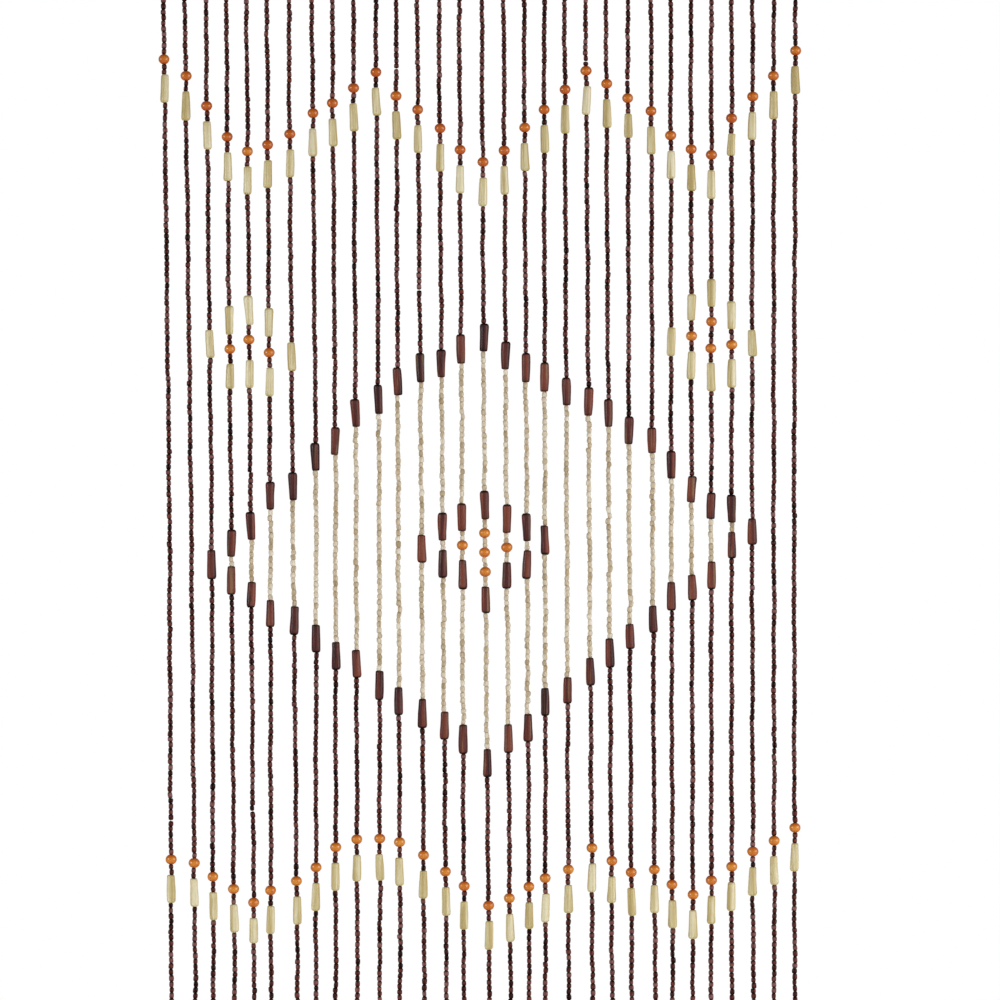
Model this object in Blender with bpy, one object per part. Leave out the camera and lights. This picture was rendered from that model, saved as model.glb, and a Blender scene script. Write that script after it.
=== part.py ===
"""Doorway bead curtain: thirty-one strings of wooden beads hung from a narrow heading tape.

Metres, +Z up. The origin is the middle of the heading's top edge, by which the curtain is held up. The strings hang
towards -Z, the curtain is wide along X and its face looks towards -Y. A depth is measured down from the top edge.

The small beads of a string touch each other, so their run is one four-sided strand. Each big bead is a six-sided
shape on it, at its real size and place, and the upper ends of all the cords are fused into the tape.
"""

from collections import namedtuple
from math import pi

import bmesh
import bpy
import numpy as np
from mathutils import Matrix, Vector

MM = 0.001

Tube = namedtuple("Tube", "narrow wide length")
Finish = namedtuple("Finish", "name colour roughness")
String = namedtuple("String", "sway beads")
BigBead = namedtuple("BigBead", "finish centre length upper_diameter lower_diameter")
Run = namedtuple("Run", "finish stations")

# Heading tape
HEADING_WIDTH = 0.900
HEADING_HEIGHT = 0.024
HEADING_THICKNESS = 0.003

# Strings
CURTAIN_DROP = 1.800
STRINGS_SPAN = 0.879
SMALL_BEAD_DIAMETER = 0.0068
SMALL_BEAD_LENGTH = 0.0079
CORD_DIAMETER = 0.0018
CORD_END_DEPTH = 0.010
FIRST_BEAD_DEPTH = 0.027
SHOULDER = 0.0004
KNOT_LENGTH = 0.003
KNOT_DIAMETER = 0.0026
SWAY_DEPTHS = (0.135, 0.830, 1.525)

# Big beads
IVORY_TUBE = Tube(0.0102, 0.0124, 0.039)
BROWN_TUBE = Tube(0.0107, 0.0129, 0.039)
BALL_DIAMETER = 0.0155
BALL_END_DIAMETER = 0.0098
BALL_HEIGHT = 0.0134
BALL_TO_TUBE = 0.0215

# Making
BEVEL_FOR_FOUR_SIDES = 0
BEVEL_FOR_SIX_SIDES = 1
TURN_CORNER_TO_SIDE = pi / 2
WELD_DISTANCE = 0.00001

DARK, IVORY, BROWN, AMBER, TAPE = range(5)
FINISHES = (
    Finish("dark_wood", (0.075, 0.020, 0.016, 1), 0.45),
    Finish("ivory_bamboo", (0.640, 0.530, 0.290, 1), 0.55),
    Finish("brown_bamboo", (0.150, 0.036, 0.024, 1), 0.40),
    Finish("amber_wood", (0.680, 0.200, 0.025, 1), 0.30),
    Finish("heading_cotton", (0.130, 0.070, 0.045, 1), 0.90),
)

# The stringing chart, a row for each string from left to right.
# sway: how far the string hangs to the right of its place in the tape at the three SWAY_DEPTHS, in millimetres.
# beads: the big beads from the top down. A mark is a letter and the depth of the bead's middle in millimetres, and
# after a colon the bead's own length where it differs from its kind's.
#   a  amber ball                  z  amber ball, two small beads, and an ivory tube whose wide end is below
#   i  ivory tube, wide end above  I  ivory tube, wide end below
#   b  brown tube, wide end above  B  brown tube, wide end below
CHART = (
    String((0, 8, 11), "z217 z1330"),
    String((0, 9, 15), "z240:41 z1335"),
    String((0, 8, 11), "z282 I613 B920:41 z1354"),
    String((-1, 6, 11), "z325:40 i580:40 a620 I658:35 b890:38 B942:40 z1371"),
    String((-2, 4, 9), "z345 i566:41 a607 I655 b866 B962:36 z1390:35"),
    String((-3, 2, 3), "z336 i583:40 a625 I666:40 b824 B988:38 z1373"),
    String((-2, 4, 11), "z321 I631:40 b811 B998:40 z1360"),
    String((1, 7, 7), "z292 b770 B1023 z1341"),
    String((0, 5, 5), "z278 b748 B1047 z1313"),
    String((0, 4, 6), "z257 b709 B1058 z1302:37"),
    String((2, 7, 8), "z235 b690:41 B1088:41 z1301:37"),
    String((1, 4, 7), "z268 b665 B1110 z1306"),
    String((1, 7, 11), "z287 b646:41 B898 B1127:41 z1324"),
    String((2, 7, 13), "z313 b640 b867 B919 B1144 z1347:40"),
    String((1, 5, 8), "z343 b620:41 b854 a893 B934:41 B1163:41 z1367"),
    String((3, 7, 14), "z360:40 b604 b837:40 a876 a903 a930 B969:37 B1196 z1394:40"),
    String((4, 8, 14), "z344:40 b629 b856:40 a896 B935:37 B1162:40 z1384"),
    String((3, 7, 11), "z312 b646:41 b868 B920:40 B1147 z1368:37"),
    String((2, 3, 4), "z287 b659:41 B886:41 B1111 z1356:40"),
    String((1, 4, 7), "z259:40 b679 B1095:37 z1344"),
    String((1, 6, 11), "z233:40 b693:40 B1069 z1314:40"),
    String((0, 4, 9), "z251:40 b709 B1043:41 z1332:37"),
    String((1, 3, 7), "z271:34 b733 B1020:35 z1348"),
    String((4, 6, 10), "z289 b747:36 B996:38 z1344"),
    String((2, 3, 5), "z323 I610:40 b781 B964:40 z1365"),
    String((1, 2, 4), "z342:37 i562:37 a602 I643 b815:37 B952:36 z1379:40"),
    String((0, 0, 0), "z350:40 i542 a582 a619 I659:40 b838:37 B935 z1359"),
    String((-1, -1, -1), "z299:31 i573 a614 I654:40 b842 B893:37 z1340:40"),
    String((-1, -2, 0), "z269 I612:37 B874:37 z1319:40"),
    String((-1, -1, 0), "z240 z1304:40"),
    String((0, -2, -1), "z205 z1286"),
)


def tube_bead(kind, centre, length):
    """A big tube bead. The kind is the chart's letter, and a small letter has its wide end above."""
    finish, tube = (IVORY, IVORY_TUBE) if kind in "iI" else (BROWN, BROWN_TUBE)
    ends = (tube.wide, tube.narrow) if kind.islower() else (tube.narrow, tube.wide)
    return BigBead(finish, centre, length or tube.length, *ends)


def ball_bead(centre):
    """An amber ball."""
    return BigBead(AMBER, centre, BALL_HEIGHT, BALL_END_DIAMETER, BALL_END_DIAMETER)


def big_beads(string):
    """The string's big beads from the top down, as its marks in the chart say."""
    beads = []
    for mark in string.beads.split():
        kind = mark[0]
        depth, _, own_length = mark[1:].partition(":")
        centre = int(depth) * MM
        length = int(own_length or 0) * MM
        if kind in "az":
            beads.append(ball_bead(centre))
        if kind == "z":
            length = length or IVORY_TUBE.length
            beads.append(tube_bead("I", centre + BALL_TO_TUBE + length / 2, length))
        if kind in "iIbB":
            beads.append(tube_bead(kind, centre, length))
    return beads


def end_depth(string):
    """Where the string's last small bead ends: a whole number of them follows the last big bead."""
    last = big_beads(string)[-1]
    start = last.centre + last.length / 2
    room = CURTAIN_DROP - KNOT_LENGTH - start
    return start + int(room / SMALL_BEAD_LENGTH) * SMALL_BEAD_LENGTH


def point_on(place, string, depth):
    """The point at this depth on the string, which hangs from the given place, counted from the left."""
    upper, middle, lower = (sway * MM for sway in string.sway)
    beyond = (CURTAIN_DROP - SWAY_DEPTHS[2]) / (SWAY_DEPTHS[2] - SWAY_DEPTHS[1])
    sway = np.interp(
        depth,
        (0, *SWAY_DEPTHS, CURTAIN_DROP),
        (0, upper, middle, lower, lower + (lower - middle) * beyond),
    )
    return Vector(((place / (len(CHART) - 1) - 0.5) * STRINGS_SPAN + sway, 0, -depth))


def finish_of(name, colour, roughness):
    """A Principled material of this colour and roughness."""
    material = bpy.data.materials.new(name)
    material.use_nodes = True
    shader = material.node_tree.nodes["Principled BSDF"]
    shader.inputs["Base Color"].default_value = colour
    shader.inputs["Roughness"].default_value = roughness
    material.diffuse_color = colour
    return material


def strand_run(place, string):
    """The string without its big beads: thin cord in the tape, then the run of small beads, and the knot."""
    end = end_depth(string)
    stations = (
        (CORD_END_DEPTH, CORD_DIAMETER),
        (FIRST_BEAD_DEPTH - SHOULDER, CORD_DIAMETER),
        (FIRST_BEAD_DEPTH, SMALL_BEAD_DIAMETER),
        *((depth, SMALL_BEAD_DIAMETER) for depth in SWAY_DEPTHS),
        (end - SHOULDER, SMALL_BEAD_DIAMETER),
        (end + KNOT_LENGTH, KNOT_DIAMETER),
    )
    return Run(DARK, [(point_on(place, string, depth), diameter) for depth, diameter in stations])


def big_bead_run(place, string, bead):
    """A big bead, which tapers from end to end, or swells in the middle if it is a ball."""
    half = bead.length / 2
    stations = [(bead.centre - half, bead.upper_diameter), (bead.centre + half, bead.lower_diameter)]
    if bead.finish == AMBER:
        stations.insert(1, (bead.centre, BALL_DIAMETER))
    return Run(bead.finish, [(point_on(place, string, depth), diameter) for depth, diameter in stations])


def runs_object(name, runs, bevel_resolution, materials, collection):
    """A mesh with a closed body for each run, made from bevelled splines whose caps are welded on."""
    curve = bpy.data.curves.new(name, "CURVE")
    curve.dimensions = "3D"
    curve.fill_mode = "FULL"
    curve.use_fill_caps = True
    curve.bevel_depth = MM
    curve.bevel_resolution = bevel_resolution
    for material in materials:
        curve.materials.append(material)
    for run in runs:
        spline = curve.splines.new("POLY")
        spline.material_index = run.finish
        spline.points.add(len(run.stations) - 1)
        for point, (place, diameter) in zip(spline.points, run.stations):
            point.co = (*place, 1)
            point.radius = diameter / 2 / MM
            point.tilt = TURN_CORNER_TO_SIDE
    guide = bpy.data.objects.new(f"{name}_guide", curve)
    collection.objects.link(guide)
    graph = bpy.context.evaluated_depsgraph_get()
    mesh = bpy.data.meshes.new_from_object(guide.evaluated_get(graph))
    bpy.data.objects.remove(guide)
    bm = bmesh.new()
    bm.from_mesh(mesh)
    bmesh.ops.remove_doubles(bm, verts=bm.verts, dist=WELD_DISTANCE)
    bm.to_mesh(mesh)
    bm.free()
    made = bpy.data.objects.new(name, mesh)
    collection.objects.link(made)
    return made


def heading_object(name, materials, collection):
    """The narrow tape, with its top edge at the origin's height."""
    bm = bmesh.new()
    size = Matrix.Diagonal((HEADING_WIDTH, HEADING_THICKNESS, HEADING_HEIGHT, 1))
    middle = Matrix.Translation((0, 0, -HEADING_HEIGHT / 2))
    bmesh.ops.create_cube(bm, size=1, matrix=middle @ size)
    for face in bm.faces:
        face.material_index = TAPE
    mesh = bpy.data.meshes.new(name)
    bm.to_mesh(mesh)
    bm.free()
    for material in materials:
        mesh.materials.append(material)
    made = bpy.data.objects.new(name, mesh)
    collection.objects.link(made)
    return made


def join_on(curtain, helper):
    """Fuses a helper's bodies into the curtain by a Boolean union."""
    helper.hide_render = True
    helper.display_type = "WIRE"
    union = curtain.modifiers.new(f"join_{helper.name}", "BOOLEAN")
    union.operation = "UNION"
    union.object = helper


def main():
    for leftover in list(bpy.data.objects):
        bpy.data.objects.remove(leftover)
    curtain_parts = bpy.data.collections.new("bead_curtain")
    helpers = bpy.data.collections.new("helpers")
    for collection in (curtain_parts, helpers):
        bpy.context.scene.collection.children.link(collection)
    materials = [finish_of(*finish) for finish in FINISHES]
    curtain = heading_object("bead_strings", materials, curtain_parts)
    strands = [strand_run(place, string) for place, string in enumerate(CHART)]
    big = [big_bead_run(place, string, bead) for place, string in enumerate(CHART) for bead in big_beads(string)]
    join_on(curtain, runs_object("strands", strands, BEVEL_FOR_FOUR_SIDES, materials, helpers))
    join_on(curtain, runs_object("big_beads", big, BEVEL_FOR_SIX_SIDES, materials, helpers))


main()
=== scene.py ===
"""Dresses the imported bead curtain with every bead, cord, knot and stitch of its thirty-one strings.

Metres, in the frame's own axes: the origin is the middle of the heading tape's top edge, the strings hang towards
-Z and the face looks towards -Y. A depth is measured down from the top edge.
"""

import logging
from collections.abc import Sequence
from dataclasses import dataclass, field
from enum import Enum
from itertools import pairwise
from math import atan2, ceil, cos, hypot, pi, radians, sin, sqrt

import bpy
import numpy as np
from mathutils import Matrix, Vector


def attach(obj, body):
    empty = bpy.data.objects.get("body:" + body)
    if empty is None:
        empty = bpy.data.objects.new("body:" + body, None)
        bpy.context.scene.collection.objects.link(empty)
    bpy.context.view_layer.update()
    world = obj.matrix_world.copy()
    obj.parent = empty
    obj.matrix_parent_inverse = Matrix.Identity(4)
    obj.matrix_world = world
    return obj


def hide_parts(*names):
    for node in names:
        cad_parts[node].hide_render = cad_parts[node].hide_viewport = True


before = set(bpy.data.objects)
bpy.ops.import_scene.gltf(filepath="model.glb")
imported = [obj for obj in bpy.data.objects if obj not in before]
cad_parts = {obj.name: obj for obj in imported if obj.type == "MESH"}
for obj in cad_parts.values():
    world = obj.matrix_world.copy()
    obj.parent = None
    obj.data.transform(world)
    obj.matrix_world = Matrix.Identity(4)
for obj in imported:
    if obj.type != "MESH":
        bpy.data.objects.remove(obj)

logging.basicConfig(level=logging.INFO, format="%(message)s")
LOG = logging.getLogger("bead_curtain")

Colour = tuple[float, float, float]

MM = 0.001
CAD_NODE = "bead_strings"
BODY = "root"
BAKE_MAP = "OFBake"
SEED = 31


class Big(Enum):
    """The kinds of big bead."""

    BALL = "ball"
    IVORY_TUBE = "ivory_tube"
    BROWN_TUBE = "brown_tube"


class Zone(Enum):
    """The parts of the pattern that a big bead may belong to."""

    UPPER_ZIGZAG = "upper_zigzag"
    LOWER_ZIGZAG = "lower_zigzag"
    SIDE_DIAMONDS = "side_diamonds"
    BIG_DIAMOND = "big_diamond"


@dataclass(frozen=True)
class BigBead:
    """A big bead on its string, in metres.

    Args:
        kind: Which kind of bead it is.
        centre: The depth of its middle.
        length: Its length along the string.
        upper: Its diameter at the upper end, or a ball's largest.
        lower: Its diameter at the lower end, or a ball's largest.
        zone: The part of the pattern that it belongs to.
    """

    kind: Big
    centre: float
    length: float
    upper: float
    lower: float
    zone: Zone


@dataclass(frozen=True)
class Run:
    """A run of small beads that touch, from one depth to another.

    Args:
        top: Where the first bead begins.
        bottom: Where the last bead ends.
        pale: Whether they are the pale beads of the big diamond.
    """

    top: float
    bottom: float
    pale: bool


@dataclass(frozen=True)
class BeadSizes:
    """The real sizes of the beads and of the curtain that they make, in metres."""

    curtain_drop: float = 1.800
    strings_span: float = 0.879
    small_diameter: float = 0.0068
    small_length: float = 0.0079
    cord_diameter: float = 0.0012
    first_bead: float = 0.027
    knot_length: float = 0.003
    ball_diameter: float = 0.0155
    ball_height: float = 0.0134
    ball_to_tube: float = 0.0215
    ivory_narrow: float = 0.0102
    ivory_wide: float = 0.0124
    ivory_length: float = 0.039
    brown_narrow: float = 0.0107
    brown_wide: float = 0.0129
    brown_length: float = 0.039
    gap: float = 0.0014


SIZES = BeadSizes()

# The stringing chart, a row for each string from left to right, as the solids have it.
# The three numbers say how far the string hangs to the right of its place in the tape at the three SWAY_DEPTHS, in
# millimetres. Each mark is a letter and the depth of the bead's middle in millimetres, and after a colon the bead's
# own length where it differs from its kind's.
#   a  amber ball                  z  amber ball, two small beads, and an ivory tube whose wide end is below
#   i  ivory tube, wide end above  I  ivory tube, wide end below
#   b  brown tube, wide end above  B  brown tube, wide end below
#   g  a little gap between two small beads, where the cord shows
SWAY_DEPTHS = (0.135, 0.830, 1.525)
CHART = (
    ((0, 8, 11), "z217 g1276 z1330"),
    ((0, 9, 15), "z240:41 z1335"),
    ((0, 8, 11), "z282 I613 B920:41 z1354"),
    ((-1, 6, 11), "z325:40 i580:40 a620 I658:35 b890:38 B942:40 z1371"),
    ((-2, 4, 9), "z345 i566:41 a607 I655 b866 B962:36 g1263 z1390:35"),
    ((-3, 2, 3), "z336 i583:40 a625 I666:40 b824 B988:38 z1373"),
    ((-2, 4, 11), "z321 I631:40 b811 B998:40 z1360"),
    ((1, 7, 7), "z292 b770 B1023 z1341"),
    ((0, 5, 5), "z278 b748 B1047 z1313"),
    ((0, 4, 6), "z257 b709 B1058 z1302:37"),
    ((2, 7, 8), "z235 b690:41 B1088:41 z1301:37"),
    ((1, 4, 7), "g230 z268 b665 B1110 z1306"),
    ((1, 7, 11), "z287 g538 b646:41 B898 B1127:41 z1324"),
    ((2, 7, 13), "z313 b640 b867 B919 B1144 z1347:40"),
    ((1, 5, 8), "z343 b620:41 b854 a893 B934:41 B1163:41 z1367"),
    ((3, 7, 14), "z360:40 b604 b837:40 a876 a903 a930 B969:37 B1196 z1394:40"),
    ((4, 8, 14), "z344:40 b629 b856:40 a896 B935:37 B1162:40 z1384"),
    ((3, 7, 11), "z312 b646:41 b868 B920:40 B1147 z1368:37"),
    ((2, 3, 4), "z287 b659:41 B886:41 B1111 z1356:40"),
    ((1, 4, 7), "z259:40 b679 B1095:37 z1344"),
    ((1, 6, 11), "g220 z233:40 b693:40 B1069 z1314:40"),
    ((0, 4, 9), "z251:40 b709 B1043:41 z1332:37"),
    ((1, 3, 7), "g246 z271:34 b733 B1020:35 z1348"),
    ((4, 6, 10), "z289 b747:36 B996:38 z1344"),
    ((2, 3, 5), "z323 I610:40 b781 B964:40 z1365"),
    ((1, 2, 4), "z342:37 i562:37 a602 I643 b815:37 B952:36 z1379:40"),
    ((0, 0, 0), "z350:40 i542 a582 a619 I659:40 b838:37 B935 z1359"),
    ((-1, -1, -1), "z299:31 i573 a614 I654:40 b842 B893:37 z1340:40"),
    ((-1, -2, 0), "z269 I612:37 B874:37 z1319:40"),
    ((-1, -1, 0), "z240 z1304:40"),
    ((0, -2, -1), "z205 z1286"),
)
LAST_DEPTH_OF_UPPER_ZIGZAG = 0.450
LAST_DEPTH_OF_SIDE_DIAMONDS = 0.750
LAST_DEPTH_OF_BIG_DIAMOND = 1.250


class BeadString:
    """One string of the curtain: its way down and the beads on it."""

    WIGGLES = ((0.21, 0.00042), (0.083, 0.00030), (0.034, 0.00018))
    OUT_OF_PLANE = 1.3
    BATCH_LENGTH = 0.13
    BATCH_SHADE = 0.13
    BEAD_SHADE = 0.24

    def __init__(self, place: int, sway: Sequence[float], marks: str) -> None:
        """Reads the string's row of the chart.

        Args:
            place: The string's number, counted from the left, from 0.
            sway: How far it hangs to the right at the three depths, in millimetres.
            marks: Its big beads from the top down.
        """
        self.place = place
        self.sway = [value * MM for value in sway]
        self.rng = np.random.default_rng((SEED, place))
        self.phases = self.rng.uniform(0, 2 * pi, (2, len(self.WIGGLES)))
        self.gaps: list[float] = []
        self.big: list[BigBead] = []
        for mark in marks.split():
            self._read(mark)

    def _read(self, mark: str) -> None:
        """Adds what one mark of the chart stands for."""
        kind = mark[0]
        depth, _, own_length = mark[1:].partition(":")
        centre = int(depth) * MM
        length = int(own_length or 0) * MM
        if kind == "g":
            self.gaps.append(centre)
            return
        if kind in "az":
            across = SIZES.ball_diameter
            self.big.append(BigBead(Big.BALL, centre, SIZES.ball_height, across, across, self._zone(centre)))
        if kind == "z":
            length = length or SIZES.ivory_length
            self._add_tube("I", centre + SIZES.ball_to_tube + length / 2, length)
        if kind in "iIbB":
            self._add_tube(kind, centre, length)

    def _add_tube(self, kind: str, centre: float, length: float) -> None:
        """Adds a tube bead, whose kind is the chart's letter."""
        if kind in "iI":
            name, usual = Big.IVORY_TUBE, SIZES.ivory_length
            narrow, wide = SIZES.ivory_narrow, SIZES.ivory_wide
        else:
            name, usual = Big.BROWN_TUBE, SIZES.brown_length
            narrow, wide = SIZES.brown_narrow, SIZES.brown_wide
        upper, lower = (wide, narrow) if kind.islower() else (narrow, wide)
        zone = Zone.BIG_DIAMOND if name is Big.BROWN_TUBE else self._zone(centre)
        self.big.append(BigBead(name, centre, length or usual, upper, lower, zone))

    @staticmethod
    def _zone(centre: float) -> Zone:
        """The part of the pattern that lies at this depth, for a ball or an ivory tube."""
        if centre < LAST_DEPTH_OF_UPPER_ZIGZAG:
            return Zone.UPPER_ZIGZAG
        if centre < LAST_DEPTH_OF_SIDE_DIAMONDS:
            return Zone.SIDE_DIAMONDS
        return Zone.BIG_DIAMOND if centre < LAST_DEPTH_OF_BIG_DIAMOND else Zone.LOWER_ZIGZAG

    @property
    def last_bead_end(self) -> float:
        """The depth at which the last small bead ends, a whole number of them below the last big bead."""
        start = self.big[-1].centre + self.big[-1].length / 2
        room = SIZES.curtain_drop - SIZES.knot_length - start
        return start + int(room / SIZES.small_length) * SIZES.small_length

    def point(self, depth: float) -> Vector:
        """The point at this depth on the string.

        Args:
            depth: How far below the curtain's top edge, in metres.

        Returns:
            The point, on the string's sway and its small wiggles.
        """
        upper, middle, lower = self.sway
        beyond = (SIZES.curtain_drop - SWAY_DEPTHS[2]) / (SWAY_DEPTHS[2] - SWAY_DEPTHS[1])
        sway = np.interp(
            depth,
            (0, *SWAY_DEPTHS, SIZES.curtain_drop),
            (0, upper, middle, lower, lower + (lower - middle) * beyond),
        )
        grown = min(1.0, max(0.0, depth - SIZES.first_bead) / SWAY_DEPTHS[0])
        aside, forward = (
            grown * sum(size * sin(2 * pi * depth / wave + phase) for (wave, size), phase in zip(self.WIGGLES, row))
            for row in self.phases
        )
        across = (self.place / (len(CHART) - 1) - 0.5) * SIZES.strings_span
        return Vector((across + sway + aside, self.OUT_OF_PLANE * forward, -depth))

    def shade(self, depth: float) -> float:
        """The tint of a small bead at this depth, from 0, dark, to 1, light, which also varies by batch."""
        batch = self.BATCH_SHADE * sin(2 * pi * depth / self.BATCH_LENGTH + self.phases[0, 0])
        return float(np.clip(self.rng.normal(0.5 + batch, self.BEAD_SHADE), 0, 1))

    def runs(self) -> list[Run]:
        """The runs of small beads between the big beads, the gaps and the string's ends, from the top down."""
        browns = [bead.centre for bead in self.big if bead.kind is Big.BROWN_TUBE]
        solids = [(bead.centre - bead.length / 2, bead.centre + bead.length / 2) for bead in self.big]
        solids += [(gap - SIZES.gap / 2, gap + SIZES.gap / 2) for gap in self.gaps]
        stops = [(0.0, SIZES.first_bead), *sorted(solids), (self.last_bead_end, SIZES.curtain_drop)]
        found = []
        for (_, top), (bottom, _) in pairwise(stops):
            middle = (top + bottom) / 2
            pale = len(browns) > 1 and browns[0] < middle < browns[-1]
            if bottom - top > SIZES.small_length / 2:
                found.append(Run(top, bottom, pale))
        return found

    def small_beads(self, run: Run) -> list[tuple[float, float]]:
        """The small beads of a run, which fill it with a few hairs of play.

        Args:
            run: The stretch to fill.

        Returns:
            The top and the bottom of each bead, as depths.
        """
        count = max(1, round((run.bottom - run.top) / SIZES.small_length))
        shares = self.rng.uniform(0.86, 1.14, count)
        edges = run.top + np.concatenate(([0], np.cumsum(shares))) / shares.sum() * (run.bottom - run.top)
        return [(float(top), float(bottom)) for top, bottom in pairwise(edges)]


STRINGS = [BeadString(place, sway, marks) for place, (sway, marks) in enumerate(CHART)]


def deselect_all() -> None:
    """Leaves object mode with nothing selected, because the frame's nodes come selected."""
    if bpy.context.object and bpy.context.object.mode != "OBJECT":
        bpy.ops.object.mode_set(mode="OBJECT")
    bpy.ops.object.select_all(action="DESELECT")


def grid_cells(count: int) -> int:
    """How many columns and rows a square needs to hold this many cells."""
    return max(1, ceil(sqrt(count)))


@dataclass
class Pattern:
    """A shape to repeat, of about unit radius and reaching from -1 to 1 along Z.

    Args:
        points: Its vertices, one row each.
        corners: The vertex of each face corner.
        starts: The first corner of each face.
        sizes: The number of corners of each face.
        rim: For each vertex, 1 at the ends and 0 on the body.
        map: A place on the unit square for each face corner.
    """

    points: np.ndarray
    corners: np.ndarray
    starts: np.ndarray
    sizes: np.ndarray
    rim: np.ndarray
    map: np.ndarray


@dataclass
class TurnedShape:
    """A closed turned shape, modelled once from a disc whose face is extruded and resized from ring to ring.

    Args:
        name: What to call it while it is made.
        profile: The radius and the height of each ring, from the bottom up.
        sides: The number of its sides.
        rim_height: The height at which the rim begins.
        rim_fade: The height over which it grows to its full strength.
        lower_rim: How strong it is at the lower end, as a share of the upper end's.
    """

    name: str
    profile: Sequence[tuple[float, float]]
    sides: int
    rim_height: float = 0.97
    rim_fade: float = 0.03
    lower_rim: float = 1.0

    CAP_SHARE = 0.12
    CAP_MARGIN = 0.01

    def pattern(self) -> Pattern:
        """Models the shape and reads it as a pattern, with its side unrolled and its two end faces above it."""
        shape = self._model()
        mesh = shape.data
        points = np.empty(len(mesh.vertices) * 3)
        mesh.vertices.foreach_get("co", points)
        points = points.reshape(-1, 3)
        corners = np.empty(len(mesh.loops), np.int32)
        mesh.loops.foreach_get("vertex_index", corners)
        starts = np.array([face.loop_start for face in mesh.polygons], np.int32)
        sizes = np.array([face.loop_total for face in mesh.polygons], np.int32)
        rings = self._rings(points)
        drawn = np.empty((len(corners), 2))
        for start, size in zip(starts, sizes):
            drawn[start:start + size] = self._unrolled(points, rings, corners[start:start + size])
        rim = np.clip((np.abs(points[:, 2]) - self.rim_height) / self.rim_fade, 0, 1)
        rim = np.where(points[:, 2] < 0, self.lower_rim * rim, rim)
        bpy.data.objects.remove(shape)
        bpy.data.meshes.remove(mesh)
        return Pattern(points, corners, starts, sizes, rim, drawn)

    def _model(self) -> bpy.types.Object:
        """Turns the profile with edit-mode operators."""
        deselect_all()
        radius, height = self.profile[0]
        bpy.ops.mesh.primitive_circle_add(vertices=self.sides, radius=radius, fill_type="NGON")
        shape = bpy.context.object
        shape.name = self.name
        bpy.ops.object.mode_set(mode="EDIT")
        bpy.ops.mesh.select_all(action="SELECT")
        bpy.ops.transform.translate(value=(0, 0, height))
        for (radius, height), (next_radius, next_height) in pairwise(self.profile):
            rise = (0, 0, next_height - height)
            bpy.ops.mesh.extrude_region_move(TRANSFORM_OT_translate={"value": rise})
            growth = next_radius / radius
            bpy.ops.transform.resize(value=(growth, growth, 1), center_override=(0, 0, next_height))
        bpy.ops.mesh.select_all(action="SELECT")
        bpy.ops.mesh.normals_make_consistent(inside=False)
        bpy.ops.object.mode_set(mode="OBJECT")
        return shape

    def _rings(self, points: np.ndarray) -> np.ndarray:
        """How far along the profile each vertex is, from 0 to 1."""
        steps = [hypot(b[0] - a[0], b[1] - a[1]) for a, b in pairwise(self.profile)]
        along = np.concatenate(([0], np.cumsum(steps))) / sum(steps)
        places = np.array(self.profile)
        radius = np.hypot(points[:, 0], points[:, 1])
        off = np.hypot(radius[:, None] - places[None, :, 0], points[:, 2][:, None] - places[None, :, 1])
        return along[off.argmin(axis=1)]

    def _unrolled(self, points: np.ndarray, rings: np.ndarray, face: np.ndarray) -> np.ndarray:
        """The place of one face's corners on the unit square."""
        body = 1 - self.CAP_SHARE
        if len(face) > 4:
            reach = np.abs(points[face, :2]).max() * 2
            cap = points[face, :2] / reach * (self.CAP_SHARE - 2 * self.CAP_MARGIN)
            beside = self.CAP_SHARE * (0.5 if points[face[0], 2] < 0 else 1.5)
            return cap + (beside, 1 - self.CAP_SHARE / 2)
        turn = np.arctan2(points[face, 1], points[face, 0]) / (2 * pi) % 1
        turn = np.where((turn.max() - turn > 0.5), turn + 1, turn)
        return np.column_stack((turn - np.floor(turn.min()), rings[face] * (body - self.CAP_MARGIN)))


@dataclass
class Spot:
    """Where one copy of a pattern goes, and how it differs from the others.

    Args:
        top: Where the middle of the pattern's upper end goes.
        bottom: Where the middle of its lower end goes.
        upper: The radius at the pattern's upper end.
        lower: The radius at its lower end.
        tint: Its own tint, from 0, dark, to 1, light.
        turn: How far it is turned about its axis.
        bulge: How much wider it is in the middle, as a share.
        bow: How far its middle lies off the axis.
        lump: How uneven its girth is, as a share.
        slant: How far off square its ends are, as a share of its half length.
    """

    top: Vector
    bottom: Vector
    upper: float
    lower: float
    tint: float
    turn: float
    bulge: float = 0.0
    bow: float = 0.0
    lump: float = 0.0
    slant: float = 0.0


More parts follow.
